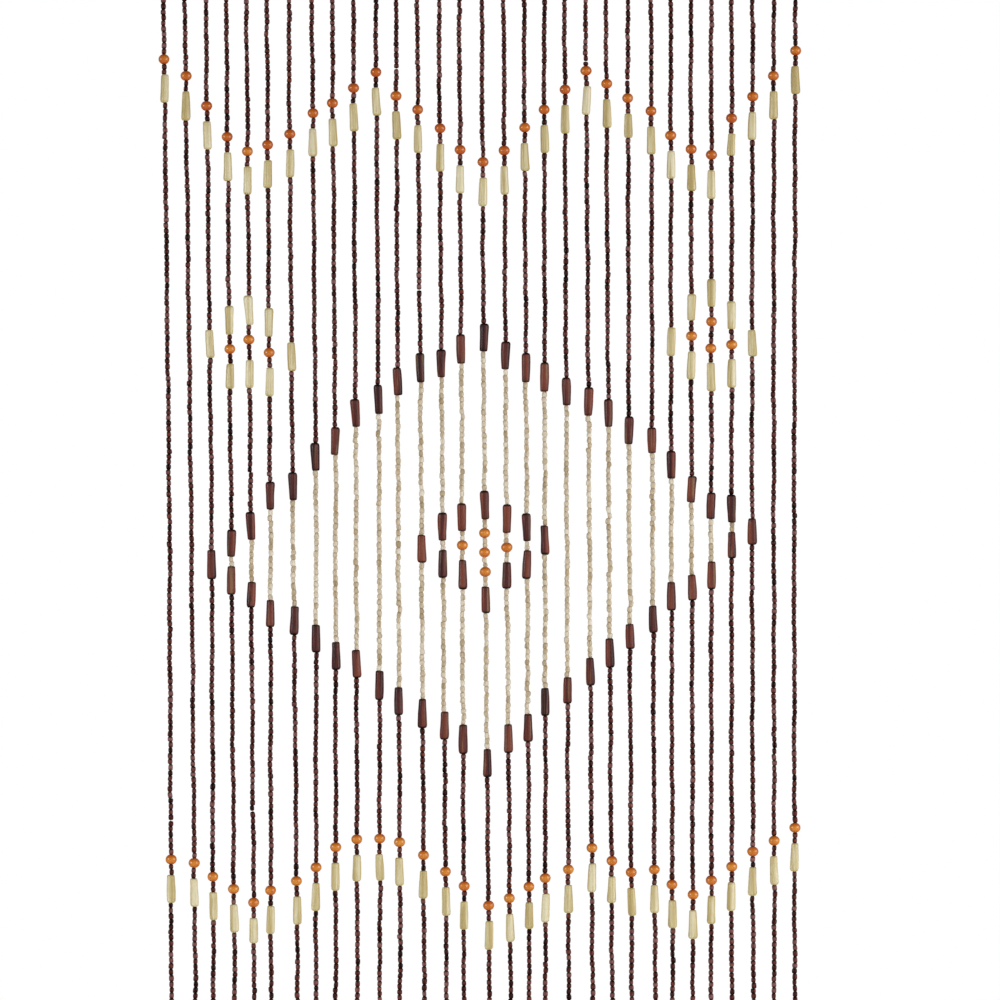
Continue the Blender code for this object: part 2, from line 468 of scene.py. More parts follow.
@dataclass
class Copies:
    """Many copies of one pattern, joined into a single piece.

    Args:
        name: The piece's name.
        pattern: The shape to repeat.
        spots: A row for each copy.
    """

    name: str
    pattern: Pattern
    spots: list[Spot] = field(default_factory=list)

    CELL_FILL = 0.94

    def piece(self, sharp_above: float) -> bpy.types.Object:
        """Joins the copies.

        Args:
            sharp_above: The angle between two faces, in degrees, above which their edge is sharp.

        Returns:
            The piece, with its tint and rim as attributes and its own map.
        """
        mesh = bpy.data.meshes.new(self.name)
        pattern, count = self.pattern, len(self.spots)
        each = len(pattern.points)
        mesh.vertices.add(each * count)
        mesh.vertices.foreach_set("co", self._points().ravel())
        corners = pattern.corners[None, :] + np.arange(count, dtype=np.int32)[:, None] * each
        starts = pattern.starts[None, :] + np.arange(count, dtype=np.int32)[:, None] * len(pattern.corners)
        mesh.loops.add(corners.size)
        mesh.loops.foreach_set("vertex_index", corners.ravel())
        mesh.polygons.add(starts.size)
        mesh.polygons.foreach_set("loop_start", starts.ravel())
        mesh.update(calc_edges=True)
        layer = mesh.uv_layers.new(name=BAKE_MAP)
        layer.uv.foreach_set("vector", self._map().ravel())
        tint = mesh.attributes.new("tint", "FLOAT", "POINT")
        tint.data.foreach_set("value", np.repeat([spot.tint for spot in self.spots], each))
        rim = mesh.attributes.new("rim", "FLOAT", "POINT")
        rim.data.foreach_set("value", np.tile(pattern.rim, count))
        mesh.validate()
        mesh.shade_smooth()
        mesh.set_sharp_from_angle(angle=radians(sharp_above))
        piece = bpy.data.objects.new(self.name, mesh)
        bpy.context.scene.collection.objects.link(piece)
        return piece

    def _points(self) -> np.ndarray:
        """The vertices of every copy, at its own place and in its own shape."""
        x, y, z = self.pattern.points.T[:, None, :]
        spots = self.spots
        upper, lower, bulge, bow, lump, slant, turn, tint = (
            np.array([getattr(spot, name) for spot in spots])[:, None]
            for name in ("upper", "lower", "bulge", "bow", "lump", "slant", "turn", "tint")
        )
        about = np.arctan2(y, x)
        girth = 1 + bulge * (1 - z * z)
        girth = girth * (1 + lump * np.sin(2 * about + 9 * tint + 2.3 * z) + 0.5 * lump * np.sin(5 * z + 17 * tint))
        radius = (lower + (upper - lower) * (z + 1) / 2) * girth
        near = x * radius + bow * (1 - z * z)
        far = y * radius
        sideways = np.cos(turn) * near - np.sin(turn) * far
        forward = np.sin(turn) * near + np.cos(turn) * far
        tops = np.array([spot.top for spot in spots])
        bottoms = np.array([spot.bottom for spot in spots])
        along = (tops - bottoms) / 2
        up = along / np.linalg.norm(along, axis=1)[:, None]
        right = np.cross((0.0, 1.0, 0.0), up)
        right /= np.linalg.norm(right, axis=1)[:, None]
        ahead = np.cross(up, right)
        middle = (tops + bottoms) / 2
        return (
            middle[:, None, :]
            + right[:, None, :] * sideways[:, :, None]
            + ahead[:, None, :] * forward[:, :, None]
            + along[:, None, :] * (z + slant * x * z * z)[:, :, None]
        )

    def _map(self) -> np.ndarray:
        """The face corners of every copy on the unit square, a cell for each copy."""
        count = len(self.spots)
        cells = grid_cells(count)
        number = np.arange(count)
        corner = np.column_stack((number % cells, number // cells)) / cells
        drawn = self.pattern.map * self.CELL_FILL / cells
        return corner[:, None, :] + drawn[None, :, :] / (1 + 1e-9)


class Nodes:
    """A node tree with short ways to add nodes and to join them."""

    def __init__(self, tree: bpy.types.NodeTree) -> None:
        """Takes the tree to add to."""
        self.tree = tree

    def add(self, kind: str, settings: dict | None = None, **inputs: object) -> bpy.types.Node:
        """Adds a node.

        Args:
            kind: The node's type name.
            settings: Its own properties.
            **inputs: A value or another node's output for each input, by its name with _ for a blank.

        Returns:
            The new node.
        """
        node = self.tree.nodes.new(kind)
        for name, value in (settings or {}).items():
            setattr(node, name, value)
        for name, value in inputs.items():
            self.join(node, name.replace("_", " "), value)
        return node

    def join(self, node: bpy.types.Node, name: str | int, value: object) -> None:
        """Gives an input its value, or a link if the value is an output."""
        socket = node.inputs[name]
        if isinstance(value, bpy.types.NodeSocket):
            self.tree.links.new(value, socket)
        else:
            socket.default_value = value

    def math(self, operation: str, first: object, second: object = 0.0, clamp: bool = False) -> bpy.types.NodeSocket:
        """A Math node's result."""
        node = self.add("ShaderNodeMath", {"operation": operation, "use_clamp": clamp})
        self.join(node, 0, first)
        self.join(node, 1, second)
        return node.outputs[0]

    def mix(self, share: object, first: object, second: object) -> bpy.types.NodeSocket:
        """The colour between two colours."""
        node = self.add("ShaderNodeMix", {"data_type": "RGBA"})
        self.join(node, 0, share)
        self.join(node, 6, first)
        self.join(node, 7, second)
        return node.outputs[2]

    def noise(self, place: object, scale: object, detail: float, seed: object = 0.0) -> bpy.types.NodeSocket:
        """A four-dimensional noise."""
        node = self.add("ShaderNodeTexNoise", {"noise_dimensions": "4D"})
        for name, value in (("Vector", place), ("W", seed), ("Scale", scale), ("Detail", detail)):
            self.join(node, name, value)
        return node.outputs[0]


def rgba(colour: Colour) -> tuple[float, float, float, float]:
    """The colour with full alpha."""
    return (*colour, 1.0)


class WoodGroup:
    """The node group that all the turned and cut beads share: a tint for each bead, grain along it and a darker colour
    at the ends, which is painted shade on the dark beads and the balls.
    """

    NAME = "bead_wood"
    COLOURS = ("Deep", "Middle", "Light", "Streak", "End Tone And Shade Colour")
    VALUES = ("Tint", "Across", "Along", "Grain", "Bands", "Streaks", "End Shade And Tone Mask")
    HAIR_SHARE = 0.45

    @classmethod
    def tree(cls) -> bpy.types.NodeTree:
        """The group, which is built the first time."""
        return bpy.data.node_groups.get(cls.NAME) or cls._build()

    @classmethod
    def _build(cls) -> bpy.types.NodeTree:
        """Makes the group's sockets and nodes."""
        tree = bpy.data.node_groups.new(cls.NAME, "ShaderNodeTree")
        tree.interface.new_socket("Vector", in_out="INPUT", socket_type="NodeSocketVector")
        for name in cls.VALUES:
            tree.interface.new_socket(name, in_out="INPUT", socket_type="NodeSocketFloat")
        for name in cls.COLOURS:
            tree.interface.new_socket(name, in_out="INPUT", socket_type="NodeSocketColor")
        tree.interface.new_socket("Color", in_out="OUTPUT", socket_type="NodeSocketColor")
        tree.interface.new_socket("Grain", in_out="OUTPUT", socket_type="NodeSocketFloat")
        nodes = Nodes(tree)
        given = tree.nodes.new("NodeGroupInput").outputs
        stretch = nodes.add("ShaderNodeCombineXYZ", X=given["Across"], Y=given["Across"], Z=given["Along"])
        drawn = nodes.add("ShaderNodeVectorMath", {"operation": "MULTIPLY"})
        nodes.join(drawn, 0, given["Vector"])
        nodes.join(drawn, 1, stretch.outputs[0])
        seed = nodes.math("MULTIPLY", given["Tint"], 37.0)
        fibres = nodes.noise(drawn.outputs[0], 1.0, 5.0, seed)
        broad = nodes.noise(drawn.outputs[0], 0.23, 2.0, seed)
        hairs = nodes.noise(drawn.outputs[0], 4.2, 3.0, seed)
        grain = nodes.math(
            "ADD",
            nodes.math("MULTIPLY", fibres, 1 - cls.HAIR_SHARE),
            nodes.math("MULTIPLY", hairs, cls.HAIR_SHARE),
        )
        shift = nodes.math("MULTIPLY", nodes.math("SUBTRACT", grain, 0.5), given["Grain"])
        sweep = nodes.math("MULTIPLY", nodes.math("SUBTRACT", broad, 0.5), given["Bands"])
        tone = nodes.math("ADD", given["Tint"], nodes.math("ADD", shift, sweep), clamp=True)
        low = nodes.mix(nodes.math("MULTIPLY", tone, 2.0, clamp=True), given["Deep"], given["Middle"])
        high = nodes.math("SUBTRACT", nodes.math("MULTIPLY", tone, 2.0), 1.0, clamp=True)
        body = nodes.mix(high, low, given["Light"])
        rare = nodes.noise(drawn.outputs[0], 0.42, 2.0, nodes.math("ADD", seed, 5.5))
        band = nodes.add("ShaderNodeMapRange", Value=rare)
        for name, value in (("From Min", 0.59), ("From Max", 0.66)):
            nodes.join(band, name, value)
        streaked = nodes.mix(nodes.math("MULTIPLY", band.outputs[0], given["Streaks"]), body, given["Streak"])
        result = tree.nodes.new("NodeGroupOutput")
        # The ends' colour, ragged by the fibres: painted shade where the dark beads meet and towards each ball's top
        # and bottom, and darker ends on the other beads.
        ragged = nodes.math("ADD", nodes.math("MULTIPLY", fibres, 1.2), 0.4)
        edge = nodes.math("MULTIPLY", given["End Shade And Tone Mask"], ragged, clamp=True)
        nodes.join(result, "Color", nodes.mix(edge, streaked, given["End Tone And Shade Colour"]))
        nodes.join(result, "Grain", grain)
        return tree


@dataclass(frozen=True)
class WoodFinish:
    """A varnished or lacquered wood or bamboo, whose colour goes from deep to light with the bead's own tint.

    Args:
        name: The material's name.
        deep: The colour of the darkest bead.
        middle: The colour of the usual bead.
        light: The colour of the lightest bead.
        streak: The colour of the streaks along the bead.
        rim: The colour at its two ends, which on the dark beads and the balls is painted shade.
        across: How fine the grain is across the bead, in cells for each metre.
        along: How fine it is along the bead.
        grain: How much the grain shifts the tint.
        bands: How much broad bands along the bead shift it.
        streaks: How strong the streaks are, from 0 to 1.
        end_shade_and_tone: How strongly its ends take that colour, from 0 to 1.
        roughness: The varnish's roughness.
        relief: The height of the grain, in metres.
        gloss: The specular level.
        coat: The weight of the clear coat.
        coat_roughness: The clear coat's roughness.
    """

    name: str
    deep: Colour
    middle: Colour
    light: Colour
    streak: Colour
    rim: Colour
    across: float
    along: float
    grain: float
    bands: float
    streaks: float
    end_shade_and_tone: float
    roughness: float
    relief: float
    gloss: float = 0.5
    coat: float = 0.0
    coat_roughness: float = 0.17

    def material(self) -> bpy.types.Material:
        """The finish as a material."""
        material = bpy.data.materials.new(self.name)
        material.use_nodes = True
        nodes = Nodes(material.node_tree)
        shader = material.node_tree.nodes["Principled BSDF"]
        place = nodes.add("ShaderNodeTexCoord").outputs["Object"]
        tint = nodes.add("ShaderNodeAttribute", {"attribute_name": "tint"}).outputs["Fac"]
        rim = nodes.add("ShaderNodeAttribute", {"attribute_name": "rim"}).outputs["Fac"]
        wood = nodes.add("ShaderNodeGroup", {"node_tree": WoodGroup.tree()}, Vector=place, Tint=tint)
        given = {
            "Across": self.across,
            "Along": self.along,
            "Grain": self.grain,
            "Bands": self.bands,
            "Streaks": self.streaks,
            "End Shade And Tone Mask": nodes.math("MULTIPLY", rim, self.end_shade_and_tone),
            "Deep": rgba(self.deep),
            "Middle": rgba(self.middle),
            "Light": rgba(self.light),
            "Streak": rgba(self.streak),
            "End Tone And Shade Colour": rgba(self.rim),
        }
        for name, value in given.items():
            nodes.join(wood, name, value)
        nodes.join(shader, "Base Color", wood.outputs["Color"])
        rough = nodes.math("MULTIPLY", nodes.math("SUBTRACT", wood.outputs["Grain"], 0.5), 0.25)
        nodes.join(shader, "Roughness", nodes.math("ADD", rough, self.roughness))
        bump = nodes.add("ShaderNodeBump", Height=wood.outputs["Grain"], Distance=self.relief)
        nodes.join(shader, "Normal", bump.outputs[0])
        nodes.join(shader, "Specular IOR Level", self.gloss)
        nodes.join(shader, "Coat Weight", self.coat)
        nodes.join(shader, "Coat Roughness", self.coat_roughness)
        return material


DARK_WOOD = WoodFinish(
    name="dark_wood",
    deep=(0.014, 0.002, 0.002),
    middle=(0.104, 0.022, 0.017),
    light=(0.245, 0.110, 0.104),
    streak=(0.180, 0.036, 0.016),
    # Near black at the ends: painted shade where the dark beads meet.
    rim=(0.005, 0.002, 0.002),
    across=600.0,
    along=170.0,
    grain=1.7,
    bands=1.2,
    streaks=0.9,
    end_shade_and_tone=0.92,
    roughness=0.36,
    relief=0.00008,
    gloss=0.12,
    coat=0.04,
)
PALE_WOOD = WoodFinish(
    name="pale_wood",
    deep=(0.37, 0.275, 0.150),
    middle=(0.595, 0.495, 0.350),
    light=(0.79, 0.72, 0.590),
    streak=(0.47, 0.31, 0.145),
    rim=(0.26, 0.19, 0.125),
    across=500.0,
    along=150.0,
    grain=2.0,
    bands=1.6,
    streaks=0.75,
    end_shade_and_tone=0.5,
    roughness=0.48,
    relief=0.00012,
    gloss=0.3,
)
AMBER_LACQUER = WoodFinish(
    name="amber_lacquer",
    deep=(0.53, 0.112, 0.006),
    middle=(0.65, 0.198, 0.014),
    light=(0.73, 0.285, 0.027),
    streak=(0.42, 0.070, 0.005),
    # Deep red at the ends: painted shade towards each ball's top and bottom.
    rim=(0.50, 0.058, 0.002),
    across=300.0,
    along=110.0,
    grain=1.3,
    bands=1.2,
    streaks=0.4,
    end_shade_and_tone=0.85,
    roughness=0.38,
    relief=0.00004,
    gloss=0.20,
    coat=1.0,
    coat_roughness=0.30,
)
IVORY_BAMBOO = WoodFinish(
    name="ivory_bamboo",
    deep=(0.47, 0.36, 0.145),
    middle=(0.61, 0.515, 0.265),
    light=(0.75, 0.685, 0.470),
    streak=(0.48, 0.37, 0.150),
    rim=(0.50, 0.37, 0.110),
    across=620.0,
    along=16.0,
    grain=2.1,
    bands=3.2,
    streaks=0.8,
    end_shade_and_tone=0.55,
    roughness=0.42,
    relief=0.00010,
    gloss=0.35,
    coat=0.1,
)
BROWN_BAMBOO = WoodFinish(
    name="brown_bamboo",
    deep=(0.042, 0.017, 0.019),
    middle=(0.108, 0.032, 0.027),
    light=(0.205, 0.057, 0.036),
    streak=(0.31, 0.200, 0.100),
    rim=(0.007, 0.003, 0.003),
    across=560.0,
    along=14.0,
    grain=2.0,
    bands=3.3,
    streaks=0.5,
    end_shade_and_tone=1.0,
    roughness=0.34,
    relief=0.00008,
    gloss=0.12,
    coat=0.03,
)


@dataclass(frozen=True)
class ThreadFinish:
    """A spun or woven thread: two colours in fine ribs, with a matching relief.

    Args:
        name: The material's name.
        dark: The colour between the ribs.
        light: The colour on them.
        ribs: How many ribs there are in a metre along X and along Z.
        relief: The height of the ribs, in metres.
        roughness: The thread's roughness.
    """

    name: str
    dark: Colour
    light: Colour
    ribs: tuple[float, float]
    relief: float
    roughness: float

    def material(self) -> bpy.types.Material:
        """The finish as a material."""
        material = bpy.data.materials.new(self.name)
        material.use_nodes = True
        nodes = Nodes(material.node_tree)
        shader = material.node_tree.nodes["Principled BSDF"]
        place = nodes.add("ShaderNodeTexCoord").outputs["Object"]
        parts = nodes.add("ShaderNodeSeparateXYZ", Vector=place).outputs
        slant = nodes.math(
            "ADD",
            nodes.math("MULTIPLY", parts["X"], 2 * pi * self.ribs[0]),
            nodes.math("MULTIPLY", parts["Z"], 2 * pi * self.ribs[1]),
        )
        rib = nodes.math("MULTIPLY", nodes.math("ADD", nodes.math("SINE", slant), 1.0), 0.5)
        fuzz = nodes.noise(place, 1800.0, 4.0)
        height = nodes.math("ADD", nodes.math("MULTIPLY", rib, 0.7), nodes.math("MULTIPLY", fuzz, 0.6))
        nodes.join(shader, "Base Color", nodes.mix(height, rgba(self.dark), rgba(self.light)))
        nodes.join(shader, "Roughness", self.roughness)
        bump = nodes.add("ShaderNodeBump", Height=height, Distance=self.relief)
        nodes.join(shader, "Normal", bump.outputs[0])
        return material


TWINE = ThreadFinish("twine", (0.42, 0.38, 0.32), (0.74, 0.71, 0.64), (420.0, 520.0), 0.00010, 0.85)
COTTON_TAPE = ThreadFinish("cotton_tape", (0.060, 0.030, 0.020), (0.150, 0.085, 0.055), (900.0, 650.0), 0.00018, 0.92)
STITCH_THREAD = ThreadFinish("stitch_thread", (0.10, 0.055, 0.035), (0.24, 0.15, 0.10), (2600.0, 1100.0), 0.00005, 0.8)


def hand_over(piece: bpy.types.Object, finish: bpy.types.Material, slot: str) -> bpy.types.Object:
    """Gives a finished piece its material and its place in the frame's table.

    Args:
        piece: The piece, with its place in its mesh.
        finish: Its material.
        slot: Not used.

    Returns:
        The piece.
    """
    piece.data.materials.clear()
    piece.data.materials.append(finish)
    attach(piece, BODY)
    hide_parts(CAD_NODE)
    LOG.info("%s: %d faces", piece.name, len(piece.data.polygons))
    return piece


@dataclass
class SmallBeads:
    """The small beads, dark on most of the curtain and pale inside the big diamond.

    Args:
        strings_a_piece: How many neighbouring strings share a piece of dark beads.
        tilt: How far a dark bead's ends may lie off the string, in metres.
        pale_tilt: The same for a pale bead.
        pale_spread: How far the pale beads' tints spread, as a share of the dark ones' spread.
        lap: How far a pale bead's ends settle into its neighbours' hollow ends, in metres.
        barrel: The radius and the height of each ring of a dark bead.
        seed: The same for a pale bead.
    """

    strings_a_piece: int = 4
    tilt: float = 0.00036
    pale_tilt: float = 0.00050
    pale_spread: float = 0.62
    lap: float = 0.00030
    barrel: tuple[tuple[float, float], ...] = (
        (0.62, -1.0),
        (0.89, -0.76),
        (1.0, -0.28),
        (1.0, 0.28),
        (0.89, 0.76),
        (0.62, 1.0),
    )
    seed: tuple[tuple[float, float], ...] = (
        (0.55, -1.0),
        (0.84, -0.84),
        (0.98, -0.45),
        (1.0, 0.0),
        (0.97, 0.45),
        (0.82, 0.84),
        (0.52, 1.0),
    )

    def build(self) -> list[bpy.types.Object]:
        """Builds and dresses every piece of small beads."""
        # The dark barrel's end mask grows from 0.3 to 0.9 of its half length: painted shade where the beads meet.
        barrel = TurnedShape("barrel_bead", self.barrel, 8, rim_height=0.3, rim_fade=0.6).pattern()
        seed = TurnedShape("seed_bead", self.seed, 9, rim_height=0.75, rim_fade=0.25).pattern()
        pale = {"left": Copies("pale_beads_left", seed), "right": Copies("pale_beads_right", seed)}
        dark = []
        for string in STRINGS:
            if string.place % self.strings_a_piece == 0:
                dark.append(Copies(f"dark_beads_{len(dark) + 1}", barrel))
            side = "left" if string.place < len(STRINGS) // 2 else "right"
            for run in string.runs():
                for top, bottom in string.small_beads(run):
                    if run.pale:
                        pale[side].spots.append(self._pale(string, top, bottom))
                    else:
                        dark[-1].spots.append(self._dark(string, top, bottom))
        dark_finish, pale_finish = DARK_WOOD.material(), PALE_WOOD.material()
        made = [hand_over(copies.piece(75), dark_finish, "dark_beads") for copies in dark]
        made += [hand_over(copies.piece(75), pale_finish, "pale_beads") for copies in pale.values()]
        return made

    def _ends(self, string: BeadString, top: float, bottom: float, tilt: float) -> tuple[Vector, Vector]:
        """The bead's two ends, each a little off the string."""
        off = string.rng.normal(0, tilt, 4)
        return (
            string.point(top) + Vector((off[0], off[1], 0)),
            string.point(bottom) + Vector((off[2], off[3], 0)),
        )

    def _dark(self, string: BeadString, top: float, bottom: float) -> Spot:
        """A dark bead: an even barrel."""
        rng = string.rng
        upper_end, lower_end = self._ends(string, top, bottom, self.tilt)
        radius = SIZES.small_diameter / 2 * rng.uniform(0.91, 1.09)
        skew = rng.uniform(-0.06, 0.06)
        return Spot(
            upper_end,
            lower_end,
            radius * (1 + skew),
            radius * (1 - skew),
            tint=string.shade(top),
            turn=rng.uniform(0, 2 * pi),
        )

    def _pale(self, string: BeadString, top: float, bottom: float) -> Spot:
        """A pale bead: as long as a dark one, but as uneven as a seed."""
        rng = string.rng
        upper_end, lower_end = self._ends(string, top - self.lap, bottom + self.lap, self.pale_tilt)
        radius = SIZES.small_diameter / 2 * rng.uniform(0.88, 1.08)
        skew = rng.uniform(-0.12, 0.12)
        return Spot(
            upper_end,
            lower_end,
            radius * (1 + skew),
            radius * (1 - skew),
            tint=0.5 + self.pale_spread * (string.shade(top) - 0.5),
            turn=rng.uniform(0, 2 * pi),
            bow=rng.uniform(0, 0.0006),
            lump=rng.uniform(0.02, 0.06),
            slant=rng.uniform(-0.25, 0.25),
        )


@dataclass
class BigBeads:
    """The balls and the two kinds of tube, each with a bored hole at both ends."""

    ball_sides: int = 20
    ball_rings: int = 12
    tube_sides: int = 18
    ball_hole: float = 0.22
    hole_depth: float = 0.12
    narrow_rim: float = 0.65

    def build(self) -> list[bpy.types.Object]:
        """Builds and dresses every piece of big beads."""
        patterns = {
            Big.BALL: TurnedShape(
                "ball_bead",
                self._ball_profile(),
                self.ball_sides,
                # The ball's end mask grows from 0.3 of its half height to its holes: painted shade towards its top and
                # bottom.
                rim_height=0.30,
                rim_fade=0.70,
            ).pattern(),
            Big.IVORY_TUBE: TurnedShape(
                "tube_bead",
                self._tube_profile(),
                self.tube_sides,
                rim_height=0.84,
                rim_fade=0.08,
                lower_rim=self.narrow_rim,
            ).pattern(),
        }
        patterns[Big.BROWN_TUBE] = patterns[Big.IVORY_TUBE]
        finishes = {
            Big.BALL: (AMBER_LACQUER.material(), "amber_balls"),
            Big.IVORY_TUBE: (IVORY_BAMBOO.material(), "ivory_tubes"),
            Big.BROWN_TUBE: (BROWN_BAMBOO.material(), "brown_tubes"),
        }
        groups: dict[tuple[Big, str], Copies] = {}
        for string in STRINGS:
            for bead in string.big:
                group = groups.setdefault(
                    (bead.kind, bead.zone.value),
                    Copies(f"{bead.kind.value}s_{bead.zone.value}", patterns[bead.kind]),
                )
                group.spots.append(self._spot(string, bead))
        return [hand_over(copies.piece(50), *finishes[kind]) for (kind, _), copies in groups.items()]

    def _ball_profile(self) -> list[tuple[float, float]]:
        """A ball from pole to pole, flat at its two holes, with the holes bored in."""
        first = np.arcsin(self.ball_hole * 1.35)
        turns = np.linspace(first, pi - first, self.ball_rings)
        outside = [(sin(turn), -cos(turn) / cos(first)) for turn in turns]
        hole = [(self.ball_hole, -1 + self.hole_depth), (self.ball_hole, -0.985)]
        return [*hole, *outside, *[(radius, -height) for radius, height in reversed(hole)]]

    def _tube_profile(self) -> list[tuple[float, float]]:
        """A tube with the mouth of its bore at both ends: below, the narrow one with a tight rim, above, the
        wide one with a well rounded rim."""
        narrow = [
            (0.34, -1 + self.hole_depth),
            (0.36, -0.990),
            (0.48, -1.0),
            (0.74, -0.992),
            (0.89, -0.968),
            (0.965, -0.930),
            (1.0, -0.865),
            (1.0, -0.4),
        ]
        wide = [
            (1.0, 0.0),
            (1.0, 0.4),
            (1.0, 0.72),
            (0.975, 0.82),
            (0.91, 0.893),
            (0.79, 0.950),
            (0.62, 0.986),
            (0.43, 1.0),
            (0.36, 0.990),
            (0.34, 1 - self.hole_depth),
        ]
        return [*narrow, *wide]

    def _spot(self, string: BeadString, bead: BigBead) -> Spot:
        """The bead's place on its string, with its own small faults."""
        rng = string.rng
        top = string.point(bead.centre - bead.length / 2)
        bottom = string.point(bead.centre + bead.length / 2)
        if bead.kind is Big.BALL:
            radius = bead.upper / 2 * rng.uniform(0.98, 1.02)
            tint = self._ball_tint_and_painted_shade(bead.zone, rng)
            return Spot(top, bottom, radius, radius, tint=tint, turn=rng.uniform(0, 2 * pi), lump=0.008)
        off = Vector((*rng.normal(0, 0.0005, 2), 0))
        ends = [
            (top + off, bead.upper / 2 * rng.uniform(0.95, 1.05)),
            (bottom - off, bead.lower / 2 * rng.uniform(0.95, 1.05)),
        ]
        if bead.lower > bead.upper:
            ends.reverse()
        (wide_end, wide_radius), (narrow_end, narrow_radius) = ends
        return Spot(
            wide_end,
            narrow_end,
            wide_radius,
            narrow_radius,
            tint=float(np.clip(rng.normal(0.5, 0.2), 0, 1)),
            turn=rng.uniform(0, 2 * pi),
            bulge=rng.uniform(0.0, 0.05),
            bow=rng.uniform(-0.0005, 0.0005),
            lump=rng.uniform(0.01, 0.04),
            slant=rng.uniform(-0.02, 0.02),
        )

    @staticmethod
    def _ball_tint_and_painted_shade(zone: Zone, rng: np.random.Generator) -> float:
        """A ball's tint: those of the upper zigzag are the deepest, as painted shade."""
        # Painted shade: the upper zigzag's balls are drawn about a deeper middle tint.
        middle = 0.25 if zone is Zone.UPPER_ZIGZAG else 0.65
        return float(np.clip(rng.normal(middle, 0.12), 0, 1))


@dataclass
class Cords:
    """The thin cords that the beads are strung on, and the knot that ends each of them."""

    sides: int = 6
    step: float = 0.016
    start: float = 0.006
    knot_turns: int = 30
    knot_radius: float = 0.00105
    tail: float = 0.006

    def build(self) -> list[bpy.types.Object]:
        """Builds and dresses the cords and the knots."""
        finish = TWINE.material()
        cords = self._tubes("stringing_cords", [self._cord_line(string) for string in STRINGS], self.sides)
        knots = self._tubes("end_knots", [self._knot_line(string) for string in STRINGS], self.sides)
        return [hand_over(piece, finish, "bead_cord") for piece in (cords, knots)]

    def _cord_line(self, string: BeadString) -> list[Vector]:
        """The cord's way from inside the tape to the knot."""
        end = string.last_bead_end + SIZES.knot_length / 2
        count = ceil((end - self.start) / self.step)
        return [string.point(depth) for depth in np.linspace(self.start, end, count + 1)]

    def _knot_line(self, string: BeadString) -> list[Vector]:
        """An overhand knot, drawn tight, with its short tail below."""
        middle = string.point(string.last_bead_end + 1.6 * SIZES.cord_diameter)
        turn = string.rng.uniform(0, 2 * pi)
        line = [string.point(string.last_bead_end - SIZES.cord_diameter)]
        for step in range(self.knot_turns + 1):
            angle = pi / 2 + 2 * pi * step / self.knot_turns * 0.94
            across = self.knot_radius * (sin(angle) + 2 * sin(2 * angle)) / 2.2
            along = self.knot_radius * (cos(angle) - 2 * cos(2 * angle)) / 2.2
            ahead = -self.knot_radius * sin(3 * angle) * 0.7
            line.append(middle + Matrix.Rotation(turn, 3, "Z") @ Vector((across, ahead, along)))
        line.append(middle + Vector((0.0004, 0, -self.tail / 2)))
        line.append(middle + Vector((0.0009, 0, -self.tail)))
        return line

    @staticmethod
    def _tubes(name: str, lines: list[list[Vector]], sides: int) -> bpy.types.Object:
        """A tube along each line, all of them one mesh with closed ends."""
        deselect_all()
        curve = bpy.data.curves.new(name, "CURVE")
        curve.dimensions = "3D"
        curve.bevel_depth = SIZES.cord_diameter / 2
        curve.bevel_resolution = sides // 2 - 2
        curve.use_fill_caps = True
        for line in lines:
            spline = curve.splines.new("POLY")
            spline.points.add(len(line) - 1)
            for point, place in zip(spline.points, line):
                point.co = (*place, 1.0)
        drawn = bpy.data.objects.new(name, curve)
        bpy.context.scene.collection.objects.link(drawn)
        drawn.select_set(True)
        bpy.context.view_layer.objects.active = drawn
        bpy.ops.object.convert(target="MESH")
        piece = bpy.context.object
        bpy.ops.object.mode_set(mode="EDIT")
        bpy.ops.mesh.select_all(action="SELECT")
        bpy.ops.mesh.remove_doubles(threshold=0.00001)
        bpy.ops.mesh.normals_make_consistent(inside=False)
        bpy.ops.object.mode_set(mode="OBJECT")
        bpy.ops.object.shade_smooth_by_angle(angle=radians(60))
        return piece


